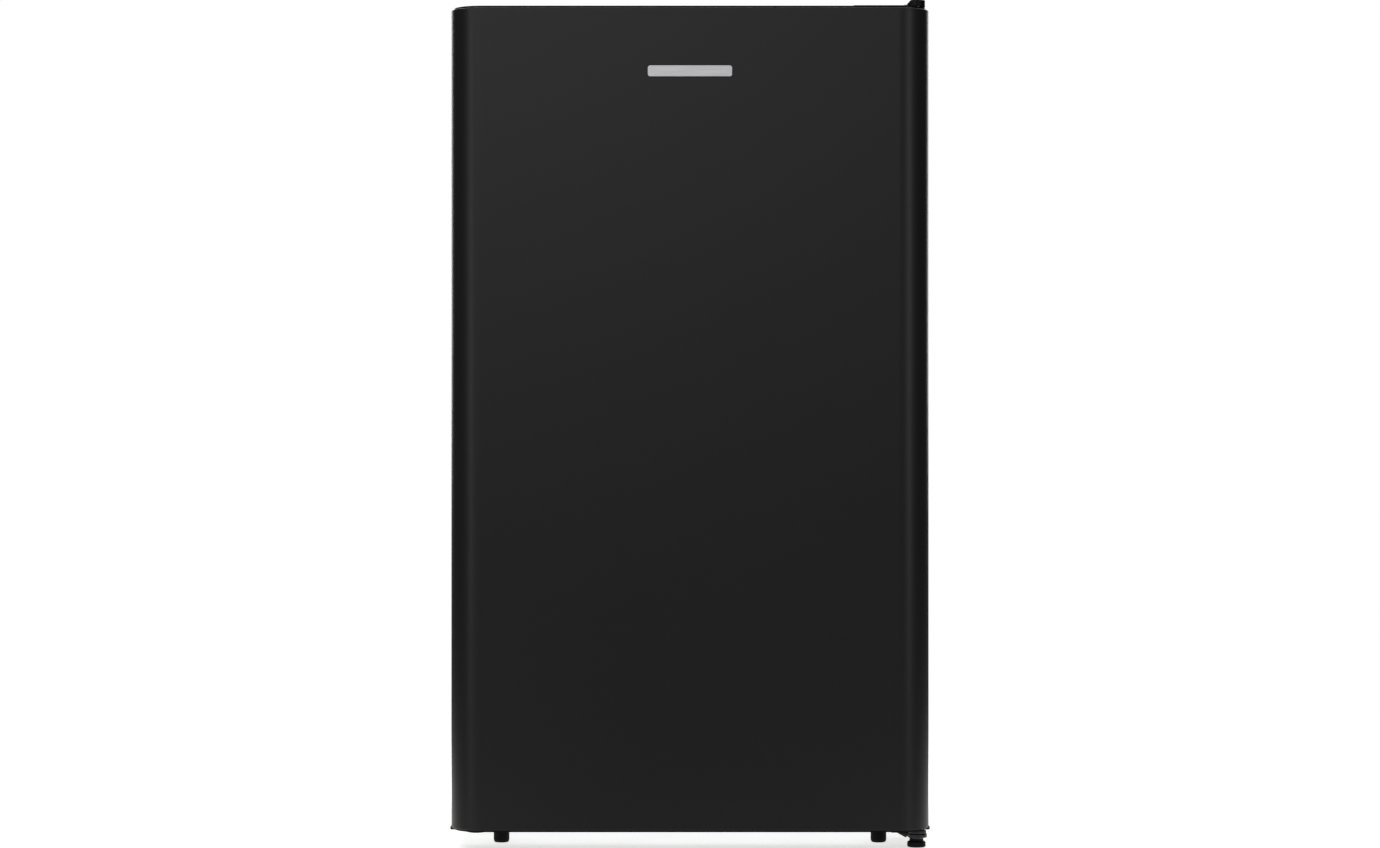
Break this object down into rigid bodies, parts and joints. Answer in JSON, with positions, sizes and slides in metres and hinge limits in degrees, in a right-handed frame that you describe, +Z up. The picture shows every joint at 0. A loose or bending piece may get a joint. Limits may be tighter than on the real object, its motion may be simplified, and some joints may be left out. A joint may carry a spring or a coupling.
{
  "type": "mini fridge",
  "caption": "Undercounter mini fridge with one right-hinged door, a freezing box, two glass shelves, a crisper drawer and a rear condenser.",
  "frame": {"origin": "on the floor, under the middle of the overall box", "axes": "+Z up, -Y towards the front of the door, +X towards the door's hinge"},
  "size_m": [0.486, 0.448, 0.852],
  "materials": {
    "black_steel": "satin",
    "galvanised_steel": "satin",
    "black_plastic": "satin",
    "white_plastic": "satin",
    "clear_plastic": "clear",
    "shelf_glass": "clear",
    "insulating_foam": "matte",
    "aluminium": "satin",
    "zinc_steel": "satin",
    "black_zinc": "satin",
    "gasket_rubber": "matte",
    "compressor_paint": "satin",
    "copper": "satin",
    "nylon": "matte",
    "brushed_silver": "brushed",
    "lamp_glass": "frosted"
  },
  "bodies": {
    "cabinet": {"outer_shell": "black_steel", "back_panel": "galvanised_steel", "base_pan": "galvanised_steel", "compressor_carrier": "galvanised_steel", "cabinet_foam": "insulating_foam", "inner_liner": "white_plastic", "drain_tube": "white_plastic", "hinge_hole_cover": "black_plastic", "upper_hinge_plate": "zinc_steel", "upper_hinge_pin": "zinc_steel", "hinge_cover": "black_plastic", "lower_hinge_plate": "black_zinc", "lower_hinge_pin": "black_zinc", "lower_hinge_screw_1": "black_zinc", "lower_hinge_screw_2": "black_zinc", "rear_foot_left": "black_plastic", "rear_foot_right": "black_plastic", "evaporator": "aluminium", "icebox_frame": "white_plastic", "crisper_cover": "shelf_glass", "thermostat_housing": "white_plastic", "lamp_cover": "clear_plastic", "lamp_bulb": "lamp_glass", "compressor": "compressor_paint", "grommet_1": "gasket_rubber", "grommet_2": "gasket_rubber", "grommet_3": "gasket_rubber", "grommet_4": "gasket_rubber", "relay_box": "black_plastic", "evaporating_tray": "black_plastic", "filter_drier": "copper", "cord_gland": "black_plastic", "discharge_pipe": "compressor_paint", "suction_pipe": "copper", "condenser_coil": "compressor_paint", "condenser_grid": "compressor_paint"},
    "door": {"door_skin": "black_steel", "door_top_cap": "black_plastic", "door_bottom_cap": "black_plastic", "door_foam": "insulating_foam", "door_liner": "white_plastic", "door_gasket": "gasket_rubber", "door_badge": "brushed_silver", "hole_plug": "black_plastic", "upper_bush": "nylon", "lower_bush": "nylon"},
    "bottle_rack": {"bottle_rack": "clear_plastic"},
    "middle_rack": {"middle_rack": "clear_plastic"},
    "top_rack": {"top_rack": "clear_plastic"},
    "icebox_flap": {"icebox_flap": "white_plastic"},
    "drip_tray": {"drip_tray": "white_plastic"},
    "crisper_drawer": {"crisper_drawer": "clear_plastic"},
    "lower_shelf": {"lower_shelf": "shelf_glass", "lower_shelf_trim": "white_plastic"},
    "upper_shelf": {"upper_shelf": "shelf_glass", "upper_shelf_trim": "white_plastic"},
    "thermostat_knob": {"thermostat_knob": "white_plastic"},
    "front_foot_left": {"front_foot_left": "black_plastic"},
    "front_foot_right": {"front_foot_right": "black_plastic"},
    "hinge_foot": {"hinge_foot": "black_plastic"}
  },
  "joints": [
    {"name": "door_hinge", "type": "hinge", "parent": "cabinet", "child": "door", "pos_m": [0.228, -0.202, 0], "axis": [0, 0, 1], "range_deg": [0, 125]},
    {"name": "bottle_rack_lift", "type": "slide", "parent": "door", "child": "bottle_rack", "axis": [0, 0, 1], "range_m": [0, 0.018]},
    {"name": "middle_rack_lift", "type": "slide", "parent": "door", "child": "middle_rack", "axis": [0, 0, 1], "range_m": [0, 0.018]},
    {"name": "top_rack_lift", "type": "slide", "parent": "door", "child": "top_rack", "axis": [0, 0, 1], "range_m": [0, 0.018]},
    {"name": "icebox_flap_hinge", "type": "hinge", "parent": "cabinet", "child": "icebox_flap", "pos_m": [0.184, -0.1055, 0], "axis": [0, 0, 1], "range_deg": [0, 88]},
    {"name": "crisper_slide", "type": "slide", "parent": "cabinet", "child": "crisper_drawer", "axis": [0, -1, 0], "range_m": [0, 0.195]},
    {"name": "lower_shelf_slide", "type": "slide", "parent": "cabinet", "child": "lower_shelf", "axis": [0, -1, 0], "range_m": [0, 0.13]},
    {"name": "upper_shelf_slide", "type": "slide", "parent": "cabinet", "child": "upper_shelf", "axis": [0, -1, 0], "range_m": [0, 0.13]},
    {"name": "drip_tray_slide", "type": "slide", "parent": "cabinet", "child": "drip_tray", "axis": [0, -1, 0], "range_m": [0, 0.13]},
    {"name": "thermostat_turn", "type": "hinge", "parent": "cabinet", "child": "thermostat_knob", "pos_m": [0.16, -0.026, 0.595], "axis": [1, 0, 0], "range_deg": [-150, 150]},
    {"name": "front_foot_left_screw", "type": "slide", "parent": "cabinet", "child": "front_foot_left", "axis": [0, 0, -1], "range_m": [0, 0.006]},
    {"name": "front_foot_right_screw", "type": "slide", "parent": "cabinet", "child": "front_foot_right", "axis": [0, 0, -1], "range_m": [0, 0.006]},
    {"name": "hinge_foot_screw", "type": "slide", "parent": "cabinet", "child": "hinge_foot", "axis": [0, 0, -1], "range_m": [0, 0.006]}
  ],
  "couplings": [
    {"joint": "icebox_flap_hinge", "follows": "door_hinge", "ratio": 0.69},
    {"joint": "crisper_slide", "follows": "door_hinge", "m_per_rad": 0.085},
    {"joint": "lower_shelf_slide", "follows": "door_hinge", "m_per_rad": 0.055},
    {"joint": "upper_shelf_slide", "follows": "door_hinge", "m_per_rad": 0.055},
    {"joint": "drip_tray_slide", "follows": "door_hinge", "m_per_rad": 0.055}
  ]
}
